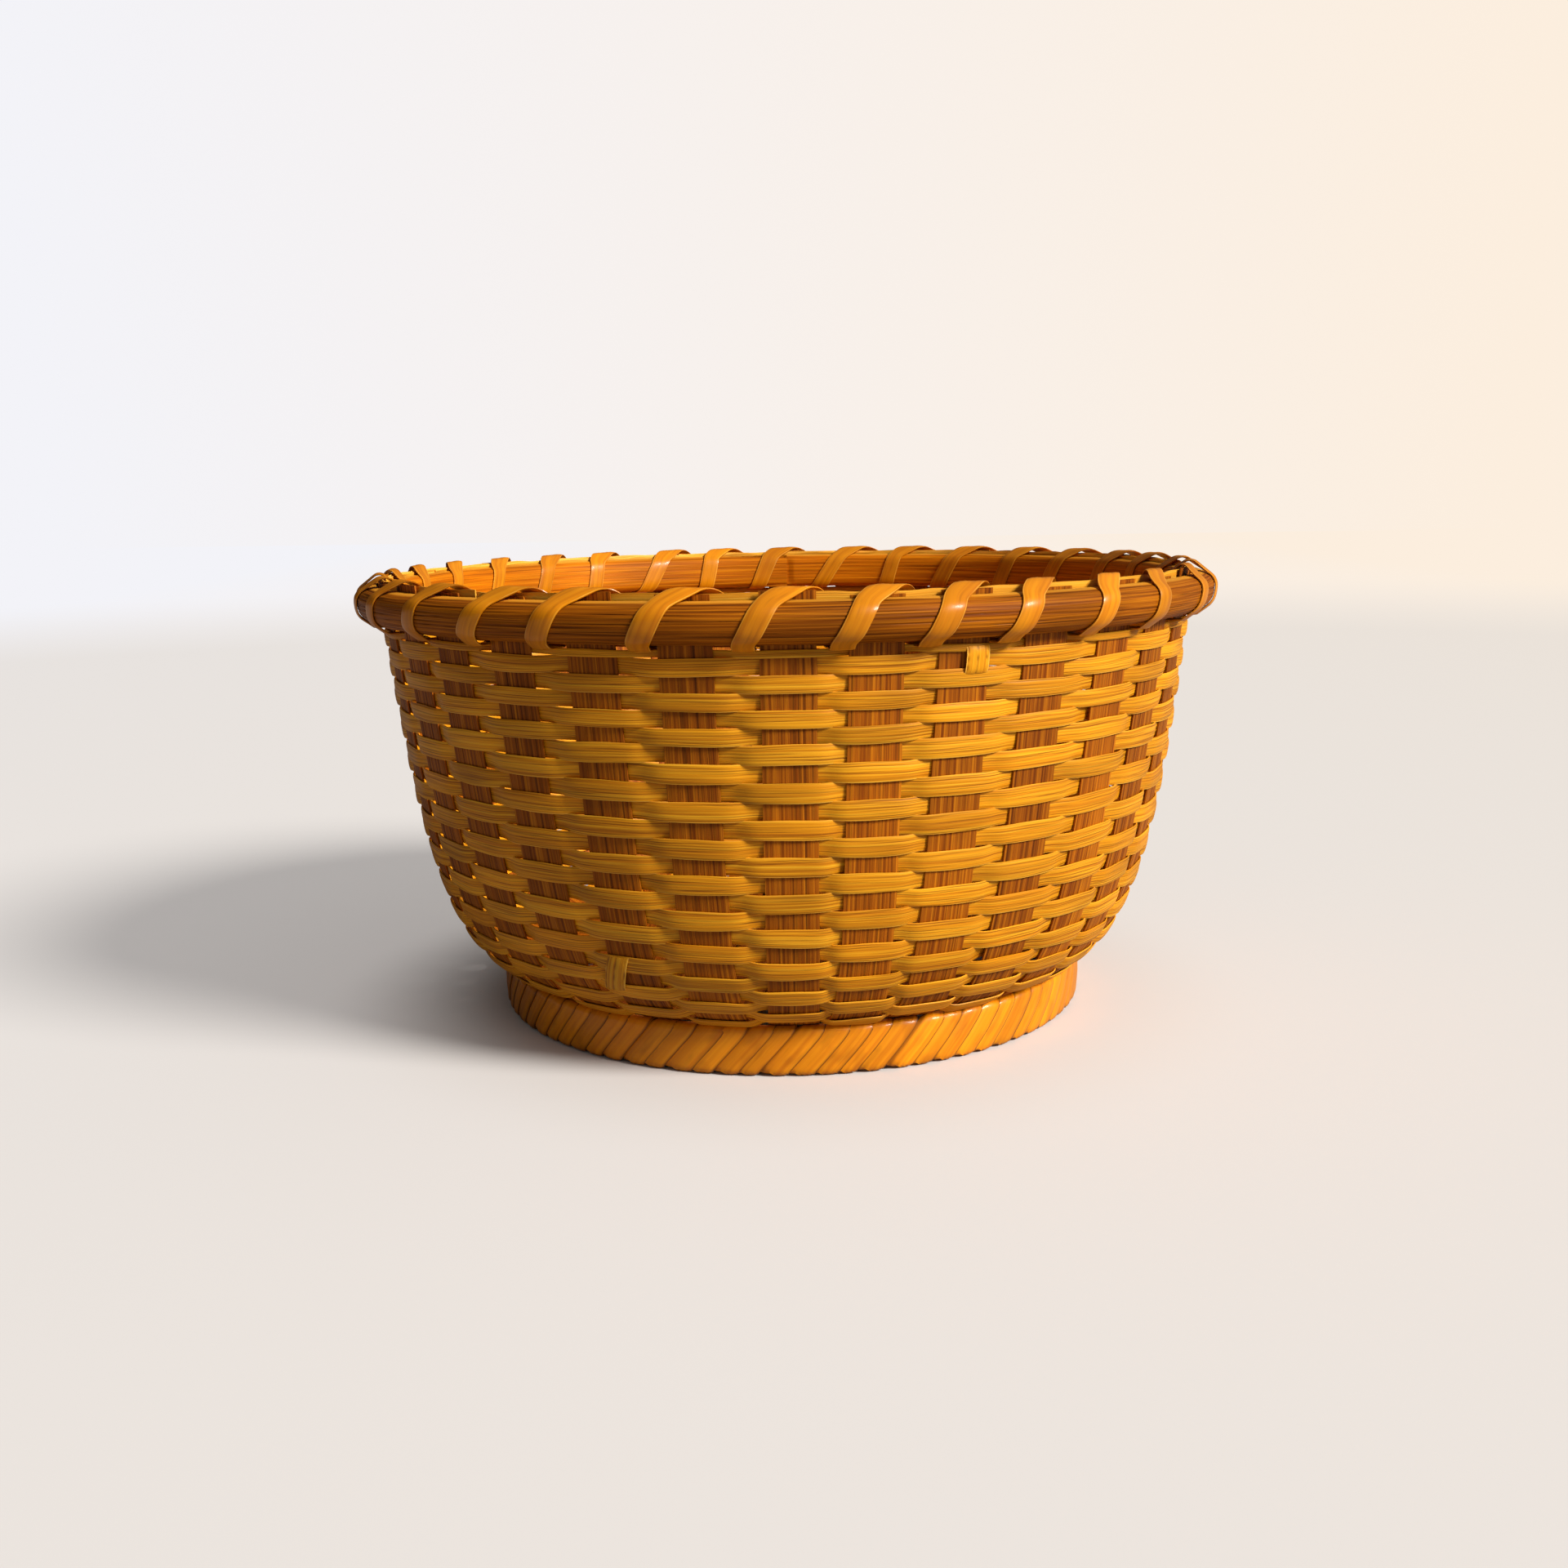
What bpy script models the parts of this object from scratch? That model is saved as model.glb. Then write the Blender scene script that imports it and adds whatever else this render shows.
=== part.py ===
# Berry basket of split bamboo: a plain-woven base that turns up into stakes, a plain-woven wall,
# a lashed rim and a wrapped foot. Metres, +Z up, origin on the floor under the middle of the foot.

import math

import bmesh
import bpy
import numpy as np

# Wall shape: the middle of the stakes, from where they leave the flat base to the rim
base_height = 0.0087
turn_radius = 0.0536
mouth_radius = 0.0850
rim_height = 0.0910
base_reach = 0.0217
wall_reach = 0.0565
mouth_lean = 0.0064

# Strips that cross in the base and stand up as stakes
strips_each_way = 8
strip_thickness = 0.0007
base_strip_width = 0.0082
stake_width = 0.0095
stake_end_proud = 0.0015

# Weavers
row_count = 24
weaver_thickness = 0.0006
row_gap = 0.0003
foot_to_weavers = 0.0006
weaver_end_gap = 0.0005
weave_gap = 0.00025

# Rim
rim_band_height = 0.0075
outer_band_thickness = 0.0036
inner_band_thickness = 0.0020
filler_thickness = 0.0008
filler_height = 0.0066
filler_proud = 0.0008
rim_gap = 0.0003
lash_width = 0.0043
lash_thickness = 0.0005
lash_gap = 0.0003

# Foot
foot_overhang = 0.0090
foot_hoop_thickness = 0.0026
wrap_turns = 48
wrap_thickness = 0.0005
wrap_turn_gap = 0.0010
wrap_gap = 0.0003
seat_gap = 0.0003

# Where the stakes bend, as shares of the wall's length from the base to the rim
stake_bend_shares = (0, 0.09, 0.16, 0.27, 0.45, 1)
# The rows lie closer under the rim, and the last one is thin: shares of the rows, counted from the
# bottom, and of their height
row_number_shares = (0, 0.21, 0.75, 0.96, 1)
row_height_shares = (0, 0.205, 0.787, 0.985, 1)
# How far round one turn of the lashing has come, as shares of a stake's pitch, at the outer band's
# lower edge, its upper edge, over the stake's end, and at the inner band's upper and lower edge
lash_lean_shares = (0, 0.24, 0.50, 0.74, 1)
# The same for a turn of the foot wrap, as shares of a turn's pitch
wrap_lean_shares = (0, 0.85, 0.95, 1)

curve_steps = 400
stake_count = 4 * strips_each_way
stake_angle = 2 * math.pi / stake_count
# The strips lie as far apart in the base as on the circle where they turn up
base_pitch = turn_radius * stake_angle
base_gap = base_pitch - base_strip_width
foot_radius = turn_radius + foot_overhang


def outward(angle):
    return np.array((math.cos(angle), math.sin(angle), 0.0))


def sideways(angle):
    return np.array((-math.sin(angle), math.cos(angle), 0.0))


def wall_bends():
    """Points (radius, height) where the stakes bend, on one smooth curve that ends in line past the rim."""
    start = np.array((turn_radius, base_height))
    end = np.array((mouth_radius, rim_height))
    handles = start + (base_reach, 0), end - (mouth_lean, wall_reach)
    t = np.linspace(0, 1, curve_steps)[:, None]
    curve = (1 - t) ** 3 * start + 3 * (1 - t) ** 2 * t * handles[0]
    curve += 3 * (1 - t) * t**2 * handles[1] + t**3 * end
    arcs = arcs_along(curve)
    wanted = np.array(stake_bend_shares) * arcs[-1]
    points = np.column_stack([np.interp(wanted, arcs, curve[:, axis]) for axis in (0, 1)])
    last_run = points[-1] - points[-2]
    points[-1] += last_run * stake_end_proud / last_run[1]
    return points


def arcs_along(points):
    """Length along a line of points, at each of its points."""
    steps = np.linalg.norm(np.diff(points, axis=0), axis=1)
    return np.concatenate(([0], np.cumsum(steps)))


bends = wall_bends()
bend_arcs = arcs_along(bends)


def wall_point(arc):
    return np.array([np.interp(arc, bend_arcs, bends[:, axis]) for axis in (0, 1)])


def wall_radius(height):
    return float(np.interp(height, bends[:, 1], bends[:, 0]))


def wall_height(radius):
    return float(np.interp(radius, bends[:, 0], bends[:, 1]))


def material(name, colour, roughness):
    made = bpy.data.materials.new(name)
    made.use_nodes = True
    shader = made.node_tree.nodes["Principled BSDF"]
    shader.inputs["Base Color"].default_value = (*colour, 1)
    shader.inputs["Roughness"].default_value = roughness
    shader.inputs["Metallic"].default_value = 0
    return made


def add_object(name, mesh, finish):
    made = bpy.data.objects.new(name, mesh)
    mesh.materials.append(finish)
    basket.objects.link(made)
    return made


def flat_strip(name, left, right, thickness, finish):
    """A strip of even thickness between two rails: the sheet that bridges them, made solid."""
    shape = bmesh.new()
    for rail in (left, right):
        points = [shape.verts.new(point) for point in rail]
        for start, end in zip(points, points[1:]):
            shape.edges.new((start, end))
    bmesh.ops.bridge_loops(shape, edges=shape.edges[:])
    bmesh.ops.triangulate(shape, faces=shape.faces[:], quad_method="SHORT_EDGE")
    mesh = bpy.data.meshes.new(name)
    shape.to_mesh(mesh)
    shape.free()
    made = add_object(name, mesh, finish)
    solid = made.modifiers.new("Thickness", "SOLIDIFY")
    solid.thickness = thickness
    solid.offset = 0
    solid.use_even_offset = True
    solid.use_quality_normals = True
    return made


def turned_ring(name, profile, sides, finish):
    """A ring turned from a closed profile of (radius, height), down its outer side and up its inner side."""
    mesh = bpy.data.meshes.new(name)
    corners = range(len(profile))
    edges = [(corner, (corner + 1) % len(profile)) for corner in corners]
    mesh.from_pydata([(radius, 0, height) for radius, height in profile], edges, [])
    made = add_object(name, mesh, finish)
    turn = made.modifiers.new("Turn", "SCREW")
    turn.angle = 2 * math.pi
    turn.steps = sides
    turn.render_steps = sides
    turn.use_merge_vertices = True
    turn.merge_threshold = 0.00001
    return made


def base_offset(number):
    """Distance of a strip from the middle of the base, for strips numbered from 0."""
    return (number - (strips_each_way - 1) / 2) * base_pitch


def strip_rails(number, over_first):
    """The two edges of the strip along X with this number, from one rim end to the other."""
    weave_level = (strip_thickness + weave_gap) / 2
    flat_half = base_strip_width / 2 + weave_gap
    stations = []
    for crossed in range(strips_each_way):
        over = (number + crossed) % 2 == over_first
        height = base_height + (weave_level if over else -weave_level)
        for side in (-1, 1):
            middle = base_offset(crossed) + side * flat_half
            centre = np.array((middle, base_offset(number), height))
            stations.append((centre, sideways(0) * base_strip_width / 2))
    last_crossing = base_offset(strips_each_way - 1) + flat_half
    for end in (-1, 1):
        angle = (number - (strips_each_way - 1) / 2) * stake_angle
        width = base_strip_width
        for radius, height in bends:
            centre = outward(angle) * radius + (0, 0, height)
            if centre[0] < last_crossing + base_gap:
                continue
            if radius > turn_radius:
                width = stake_width
            across = sideways(angle) * width / 2
            if end == 1:
                stations.append((centre, across))
            else:
                mirror = (-1, 1, 1)
                stations.insert(0, (centre * mirror, across * mirror))
    left = np.array([centre + across for centre, across in stations])
    right = np.array([centre - across for centre, across in stations])
    return left, right


def quarter_turned(points):
    """Points turned a quarter round, so that X becomes Y and the strips of both ways share their numbers."""
    return points[:, (1, 0, 2)]


def build_strips():
    finish = material("stake_bamboo", (0.22, 0.075, 0.014), 0.5)
    for number in range(strips_each_way):
        left, right = strip_rails(number, 0)
        flat_strip(f"strip_x_{number + 1}", left, right, strip_thickness, finish)
        left, right = strip_rails(number, 1)
        left, right = quarter_turned(left), quarter_turned(right)
        flat_strip(f"strip_y_{number + 1}", right, left, strip_thickness, finish)


def row_arc(row):
    """Wall length of a row's lower edge, for rows from the foot to the underside of the lashing."""
    foot_arc = float(np.interp(foot_radius, bends[:, 0], bend_arcs))
    lowest = foot_arc + foot_to_weavers
    top_height = rim_height - rim_band_height - 2 * lash_gap - lash_thickness
    highest = float(np.interp(top_height, bends[:, 1], bend_arcs)) + row_gap
    share = float(np.interp(row / row_count, row_number_shares, row_height_shares))
    return lowest + (highest - lowest) * share


def weaver_rails(row):
    """Lower and upper edge of one row, which starts and ends behind a stake."""
    limits = row_arc(row), row_arc(row + 1) - row_gap
    low, high = wall_point(limits[0]), wall_point(limits[1])
    along = (high - low) / np.linalg.norm(high - low)
    wall_normal = np.array((along[1], -along[0]))
    clear = (strip_thickness + weaver_thickness) / 2 + weave_gap
    crossed = (bend_arcs > limits[0]) & (bend_arcs < limits[1])
    bow = max((bends[crossed] - low) @ wall_normal, default=0)
    half = stake_width / 2 + weave_gap
    first_stake = (5 * row + 1) % stake_count
    first_stake += (first_stake + row) % 2
    stations = [(0, 0, weaver_end_gap / 2), (0, 0, half)]
    for passed in range(1, stake_count):
        stations += [(passed, passed % 2, -half), (passed, passed % 2, half)]
    stations += [(0, 0, -half), (0, 0, -weaver_end_gap / 2)]
    rails = []
    for edge in (low, high):
        rail = []
        for passed, outside, shift in stations:
            angle = (first_stake + passed + 0.5) * stake_angle
            radius, height = edge + wall_normal * (clear + bow if outside else -clear)
            rail.append(outward(angle) * radius + sideways(angle) * shift + (0, 0, height))
        rails.append(np.array(rail))
    return rails


def build_weavers():
    finish = material("weaver_bamboo", (0.45, 0.22, 0.035), 0.45)
    for row in range(row_count):
        low, high = weaver_rails(row)
        flat_strip(f"weaver_{row + 1:02d}", low, high, weaver_thickness, finish)


def corner_radius(flat_radius, sides):
    """Radius of the corners of a many-sided ring whose flats lie at this radius."""
    return flat_radius / math.cos(math.pi / sides)


def rim_ring_profile(near, far, height, top):
    """Leaning profile of a ring beside the stakes, from its distances to their middle; negative is inside."""
    outside, inside = max(near, far), min(near, far)
    bottom = top - height
    points = ((outside, top), (outside, bottom), (inside, bottom), (inside, top))
    return [(corner_radius(wall_radius(z) + offset, stake_count), z) for offset, z in points]


def rim_stack():
    """Distances from the middle of the stakes to both faces of the inner band, filler and outer band."""
    clear = strip_thickness / 2 + rim_gap
    outer = (clear, clear + outer_band_thickness)
    filler = (-clear, -clear - filler_thickness)
    inner_near = filler[1] - rim_gap
    return (inner_near, inner_near - inner_band_thickness), filler, outer


def build_rim():
    band_finish = material("rim_band_bamboo", (0.20, 0.065, 0.014), 0.5)
    filler_finish = material("rim_filler_bamboo", (0.60, 0.38, 0.13), 0.55)
    inner, filler, outer = rim_stack()
    profile = rim_ring_profile(*outer, rim_band_height, rim_height)
    turned_ring("rim_outer_band", profile, stake_count, band_finish)
    profile = rim_ring_profile(*inner, rim_band_height, rim_height)
    turned_ring("rim_inner_band", profile, stake_count, band_finish)
    profile = rim_ring_profile(*filler, filler_height, rim_height + filler_proud)
    turned_ring("rim_filler", profile, stake_count, filler_finish)


def wound_rails(folds, shares, turns, width):
    """Edges of a strip wound round a ring: each turn is folded at these (radius, height) in order."""
    turn_angle = 2 * math.pi / turns
    rails = []
    for side in (-1, 1):
        rail = []
        for turn in range(turns):
            for (radius, height), share in zip(folds, shares):
                angle = (turn + share) * turn_angle
                shift = side * width / 2
                rail.append(outward(angle) * radius + sideways(angle) * shift + (0, 0, height))
        rails.append(np.array(rail))
    return rails


def build_lashing():
    finish = material("lash_bamboo", (0.50, 0.22, 0.03), 0.3)
    inner, _, outer = rim_stack()
    clear = lash_gap + lash_thickness / 2
    top = rim_height
    bottom = rim_height - rim_band_height
    outer_low = corner_radius(wall_radius(bottom) + outer[1], stake_count)
    outer_high = corner_radius(wall_radius(top) + outer[1], stake_count)
    inner_low = wall_radius(bottom) + inner[1]
    inner_high = wall_radius(top) + inner[1]
    stake_end, stake_top = bends[-1]
    folds = (
        (outer_low + clear, bottom - clear),
        (outer_high + clear, top + clear),
        (stake_end, stake_top + clear),
        (inner_high - clear, top + clear),
        (inner_low - clear, bottom - clear),
    )
    left, right = wound_rails(folds, lash_lean_shares, stake_count, lash_width)
    flat_strip("rim_lashing", left, right, lash_thickness, finish)


def foot_section(inset):
    """Corners (radius, height) of a section through the foot, this far inside the wrap's outer face."""
    outer = foot_radius
    inner = foot_radius - foot_hoop_thickness - 2 * (wrap_thickness + wrap_gap)
    outer_top = wall_height(outer) - strip_thickness - seat_gap
    inner_top = base_height - weave_gap / 2 - strip_thickness - seat_gap
    slope = (outer_top - inner_top) / (outer - inner)
    drop = inset * math.hypot(1, slope)
    corners = []
    for radius, start in ((outer - inset, outer), (inner + inset, inner)):
        top = inner_top + slope * (radius - inner) - drop
        corners.append((radius, top))
    outer_high, inner_high = corners
    return (outer_high[0], inset), outer_high, inner_high, (inner_high[0], inset)


def build_foot():
    hoop_finish = material("foot_hoop_bamboo", (0.25, 0.11, 0.03), 0.6)
    wrap_finish = material("foot_wrap_bamboo", (0.55, 0.20, 0.01), 0.3)
    outer_low, outer_high, inner_high, inner_low = foot_section(wrap_thickness + wrap_gap)
    inner_corner = corner_radius(inner_low[0], wrap_turns)
    inner_side = ((inner_corner, inner_low[1]), (inner_corner, inner_high[1]))
    turned_ring("foot_hoop", (outer_high, outer_low, *inner_side), wrap_turns, hoop_finish)
    width = 2 * math.pi * inner_low[0] / wrap_turns - wrap_turn_gap
    folds = foot_section(wrap_thickness / 2)
    left, right = wound_rails(folds, wrap_lean_shares, wrap_turns, width)
    flat_strip("foot_wrap", left, right, wrap_thickness, wrap_finish)


def clear_scene():
    for thing in list(bpy.data.objects):
        bpy.data.objects.remove(thing)


clear_scene()
basket = bpy.data.collections.new("berry_basket")
bpy.context.scene.collection.children.link(basket)
build_strips()
build_weavers()
build_rim()
build_lashing()
build_foot()
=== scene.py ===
import math
import bpy
import numpy as np
from mathutils import Matrix


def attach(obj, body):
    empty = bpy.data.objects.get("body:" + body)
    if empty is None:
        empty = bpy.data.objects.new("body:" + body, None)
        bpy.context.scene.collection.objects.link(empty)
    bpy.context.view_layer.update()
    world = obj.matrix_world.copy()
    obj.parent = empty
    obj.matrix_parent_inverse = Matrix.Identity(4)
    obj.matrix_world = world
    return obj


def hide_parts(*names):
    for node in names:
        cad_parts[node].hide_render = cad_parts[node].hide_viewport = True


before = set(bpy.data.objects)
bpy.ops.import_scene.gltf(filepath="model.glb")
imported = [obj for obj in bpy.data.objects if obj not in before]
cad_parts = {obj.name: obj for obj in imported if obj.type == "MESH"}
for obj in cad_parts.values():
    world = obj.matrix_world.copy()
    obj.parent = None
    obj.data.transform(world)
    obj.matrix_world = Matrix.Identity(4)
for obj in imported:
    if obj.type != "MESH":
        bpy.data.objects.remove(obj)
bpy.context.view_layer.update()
print("frame loaded:", len(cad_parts), "pieces")

mm = 0.001
stakeCount = 32
stakeStep = 2 * math.pi / stakeCount


# camera

camera = {
    "distance": 0.360,
    "height": 0.1099,
    "azimuth": 276.4,     # degrees
    "pitch": 10.27,
    "yaw": -0.16,
    "roll": 1.03,
    "lens": 38.12,
}


def placeCamera(c):
    # right and up are turned by the roll from the level right and the upright of a view that looks down by the pitch
    azimuth, pitch, yaw, roll = (math.radians(c[key]) for key in ("azimuth", "pitch", "yaw", "roll"))
    outwards = np.array((math.cos(azimuth), math.sin(azimuth), 0.0))
    sideways = np.array((-math.sin(azimuth), math.cos(azimuth), 0.0))
    forward = -outwards * math.cos(yaw) + sideways * math.sin(yaw)
    right = sideways * math.cos(yaw) + outwards * math.sin(yaw)
    upright = np.array((0.0, 0.0, 1.0))
    ahead = forward * math.cos(pitch) - upright * math.sin(pitch)
    above = upright * math.cos(pitch) + forward * math.sin(pitch)
    across, up = right * math.cos(roll) - above * math.sin(roll), right * math.sin(roll) + above * math.cos(roll)
    data = bpy.data.cameras.new("camera")
    data.lens = c["lens"]
    made = bpy.data.objects.new("camera", data)
    bpy.context.scene.collection.objects.link(made)
    place = outwards * c["distance"] + upright * c["height"]
    made.matrix_world = Matrix([(across[k], up[k], -ahead[k], place[k]) for k in range(3)] + [(0, 0, 0, 1)])
    bpy.context.scene.camera = made


placeCamera(camera)


# colours and nodes

def rgb(red, green, blue):
    # screen values of 0 to 255 as the linear values that sockets hold
    return tuple((v / 255 / 12.92) if v < 11 else ((v / 255 + 0.055) / 1.055) ** 2.4 for v in (red, green, blue))


def nodeMaker(tree):
    def add(kind, inputs=(), **settings):
        node = tree.nodes.new(kind)
        for key, value in settings.items():
            setattr(node, key, value)
        for key, value in dict(inputs).items():
            if isinstance(value, bpy.types.NodeSocket):
                tree.links.new(value, node.inputs[key])
            else:
                node.inputs[key].default_value = value
        return node
    return add


# stage and light

studio = {
    "floor": (222, 217, 213),
    "floorBounce": (156, 150, 145),
    "floorGlow": 0.36,                   # share of the seen floor that shadows don't reach
    "backdrop": ((243, 243, 248), (252, 238, 222)),        # on the left and on the right of the view: painted light, warm and pale on the right as if sunlit, cool on the left as if in shade
    "viewRight": (0.994, 0.111, 0),
    "backdropTurn": (0.40, 0.75),                           # how far aside it changes, in the sky and, in metres, below
    "floorSize": 6.0,
    "glowFrom": 0.060,
    "glowTo": 0.105,
    "fadeFrom": 0.45,
    "fadeTo": 1.6,
    "skyLevel": (0.11, 0.17, 0.20),      # everywhere, more from above, more from the sun's side
    "skyLeast": 0.02,
    "sunLevel": 4.9,
    "sunAzimuth": 334,
    "sunHeight": 33,
    "sunAngle": 18,
}


def backdropColour(add, place, s, turn):
    # one backdrop colour on the left, the other on the right and a blend of both between them, a painted light and
    # shade
    aside = add("ShaderNodeVectorMath", {0: place, 1: s["viewRight"]}, operation="DOT_PRODUCT").outputs["Value"]
    share = add("ShaderNodeMapRange", {"Value": aside, "From Min": -turn, "From Max": turn}).outputs["Result"]
    left, right = (rgb(*colour) for colour in s["backdrop"])
    return add("ShaderNodeMix", {0: share, 6: (*left, 1), 7: (*right, 1)}, data_type="RGBA").outputs[2]


def makeStudio(s):
    world = bpy.data.worlds.new("studio")
    bpy.context.scene.world = world
    world.use_nodes = True
    tree = world.node_tree
    add = nodeMaker(tree)
    azimuth, height = math.radians(s["sunAzimuth"]), math.radians(s["sunHeight"])
    plain, above, beside = s["skyLevel"]
    place = add("ShaderNodeTexCoord").outputs["Generated"]
    slant = (beside * math.cos(azimuth), beside * math.sin(azimuth), above)
    level = add("ShaderNodeVectorMath", {0: place, 1: slant}, operation="DOT_PRODUCT").outputs["Value"]
    level = add("ShaderNodeMath", {0: level, 1: plain}, operation="ADD").outputs["Value"]
    level = add("ShaderNodeMath", {0: level, 1: s["skyLeast"]}, operation="MAXIMUM").outputs["Value"]
    light = add("ShaderNodeBackground", {"Color": (1, 0.99, 0.98, 1), "Strength": level})
    seen = add("ShaderNodeBackground", {"Color": backdropColour(add, place, s, s["backdropTurn"][0]), "Strength": 1.0})
    path = add("ShaderNodeLightPath")
    mixed = add("ShaderNodeMixShader", {0: path.outputs["Is Camera Ray"], 1: light.outputs[0], 2: seen.outputs[0]})
    tree.links.new(mixed.outputs[0], tree.nodes["World Output"].inputs["Surface"])
    lamp = bpy.data.lights.new("key", "SUN")
    lamp.energy = s["sunLevel"]
    lamp.angle = math.radians(s["sunAngle"])
    lamp.color = (1.0, 0.98, 0.94)
    key = bpy.data.objects.new("key", lamp)
    key.rotation_euler = (math.pi / 2 - height, 0, azimuth + math.pi / 2)
    bpy.context.scene.collection.objects.link(key)
    half = s["floorSize"] / 2
    mesh = bpy.data.meshes.new("floor")
    mesh.from_pydata([(-half, -half, 0), (half, -half, 0), (half, half, 0), (-half, half, 0)], [], [(0, 1, 2, 3)])
    floor = bpy.data.objects.new("floor", mesh)
    bpy.context.scene.collection.objects.link(floor)
    material = bpy.data.materials.new("floorPaint")
    material.use_nodes = True
    tree = material.node_tree
    shader = tree.nodes["Principled BSDF"]
    shader.inputs["Roughness"].default_value = 0.8
    add = nodeMaker(tree)
    place = add("ShaderNodeTexCoord").outputs["Object"]
    distance = add("ShaderNodeVectorMath", {0: place}, operation="LENGTH").outputs["Value"]
    near = add("ShaderNodeMapRange", {
        "Value": distance, "From Min": s["glowFrom"], "From Max": s["glowTo"], "To Max": s["floorGlow"]},
        interpolation_type="SMOOTHSTEP")
    far = add("ShaderNodeMapRange", {
        "Value": distance, "From Min": s["fadeFrom"], "From Max": s["fadeTo"]}, interpolation_type="SMOOTHSTEP")
    glow = add("ShaderNodeMath", {0: near.outputs["Result"], 1: far.outputs["Result"]}, operation="MAXIMUM")
    path = add("ShaderNodeLightPath").outputs["Is Camera Ray"]
    paint = add("ShaderNodeMix", {
        0: path, 6: (*rgb(*s["floorBounce"]), 1), 7: (*rgb(*s["floor"]), 1)}, data_type="RGBA").outputs[2]
    tree.links.new(paint, shader.inputs["Base Color"])
    share = add("ShaderNodeMath", {0: glow.outputs["Value"], 1: path}, operation="MULTIPLY").outputs["Value"]
    # the seen floor glows in the backdrop's colours, with their painted light on the right and shade on the left
    seen = add("ShaderNodeEmission", {"Color": backdropColour(add, place, s, s["backdropTurn"][1]), "Strength": 1.0})
    mixed = add("ShaderNodeMixShader", {0: share, 1: shader.outputs[0], 2: seen.outputs[0]})
    tree.links.new(mixed.outputs[0], tree.nodes["Material Output"].inputs["Surface"])
    mesh.materials.append(material)


makeStudio(studio)
bpy.context.scene.view_settings.view_transform = "Standard"
print("camera, floor and light placed")


# shared maths

def smooth(value, low, high):
    # 0 below low, 1 above high, and 3t^2 - 2t^3 between them
    t = np.clip((value - low) / (high - low), 0, 1)
    return t * t * (3 - 2 * t)


def drift(turns, seed, slow, fast):
    # a wandering value of about -1 to 1: sines of slow to fast whole waves a turn, each with its own phase and size
    dice = np.random.default_rng(seed)
    waves = np.arange(slow, fast + 1)
    phases = dice.uniform(0, 2 * np.pi, waves.size)
    sizes = dice.normal(0, 1, waves.size) * np.sqrt(1.2 / waves.size)
    return np.sin(2 * np.pi * np.asarray(turns)[..., None] * waves + phases) @ sizes


def turnedTo(radius, angle, height):
    # points of a turned shape: radius cos(angle), radius sin(angle), height
    return np.stack(np.broadcast_arrays(radius * np.cos(angle), radius * np.sin(angle), height), axis=-1)


def unit(vectors):
    return vectors / np.linalg.norm(vectors, axis=-1, keepdims=True)


def lengthsAlong(path, closed=False):
    # length in mm at each point of a path, and once more at its first point where it is closed
    if closed:
        path = np.vstack((path, path[:1]))
    return np.concatenate(([0], np.cumsum(np.linalg.norm(np.diff(path, axis=0), axis=1)))) / mm


def carried(path, normals, across, heights, closed=False):
    # a profile carried along a path: path + side * across + normal * height, where side = normal x tangent
    if closed:
        tangents = unit(np.roll(path, -1, axis=0) - np.roll(path, 1, axis=0))
    else:
        tangents = unit(np.gradient(path, axis=0))
    normals = unit(normals - (normals * tangents).sum(axis=1, keepdims=True) * tangents)
    sides = np.cross(normals, tangents)
    return path[:, None] + sides[:, None] * across[..., None] + normals[:, None] * heights[..., None]


# sections of flat strips

def stripSection(columns, thickness, crown, hollow, bow=0.0):
    # the outer face is t/2 (1 - crown |x|^5) + bow (1 - x^2), and the inner face, back again, -t/2 (1 - hollow |x|^5)
    outer, inner = columns
    x = np.concatenate(([-1, -0.96], np.linspace(-0.88, 0.88, outer - 4), [0.96, 1]))
    back = np.linspace(1, -1, inner)
    front = thickness / 2 * (1 - crown * np.abs(x) ** 5) + bow * (1 - x**2)
    rear = -thickness / 2 * (1 - hollow * np.abs(back) ** 5)
    return np.concatenate((x, back)), np.concatenate((front, rear)), np.arange(outer + inner) < outer


def grooveField(turns, x, grooves, seed):
    # the deepest of some bell curves exp(-((x - place) / width)^2), whose places wander and whose depths fade
    dice = np.random.default_rng(seed)
    places = np.linspace(-0.87, 0.87, grooves["count"]) + dice.uniform(-0.3, 0.3, grooves["count"]) / grooves["count"]
    field = np.zeros((turns.size, x.size))
    for k, place in enumerate(places):
        centre = place + grooves["wander"] * drift(turns, seed * 60 + k, 1, grooves["waves"])
        fade = np.clip(0.62 + 0.5 * drift(turns, seed * 60 + 30 + k, 2, grooves["waves"]), 0, 1)
        field = np.maximum(field, fade[:, None] * np.exp(-(((x - centre[:, None]) / grooves["width"]) ** 2)))
    return field


def dressedSection(turns, section, grooves, seed, pale, dark=0.0):
    # the section at every station, with its grooves cut into the outer face, and the values that darken or pale it;
    # pale is how much the edge at x = -1 and the edge at x = 1 pale, and dark how dark their narrow faces are, a
    # painted shade
    x, heights, outer = section
    field = grooveField(turns, x, grooves, seed) * outer
    lower, upper = pale
    values = field - (lower * smooth(x, -0.9, -0.96) + upper * smooth(x, 0.9, 0.96)) * outer
    return heights - field * grooves["depth"], np.where(np.abs(x) > 0.985, dark, values) if dark else values


# meshes from grids

def gridPart(points, closed, along, section, halfWidth, values, tone, strand):
    # points[u, v] lie on a grid whose v goes round the section; along is the fibres' length in mm at each station
    x, heights, _ = section
    around = lengthsAlong(np.stack((x * halfWidth, heights), axis=-1), closed=True)
    shape = points.shape[:2]
    spread = {name: np.broadcast_to(value, shape).ravel() for name, value in
              (("tone", tone), ("groove", values), ("strand", strand))}
    return {"points": points, "closed": closed, "along": along, "around": around, "values": spread}


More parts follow.
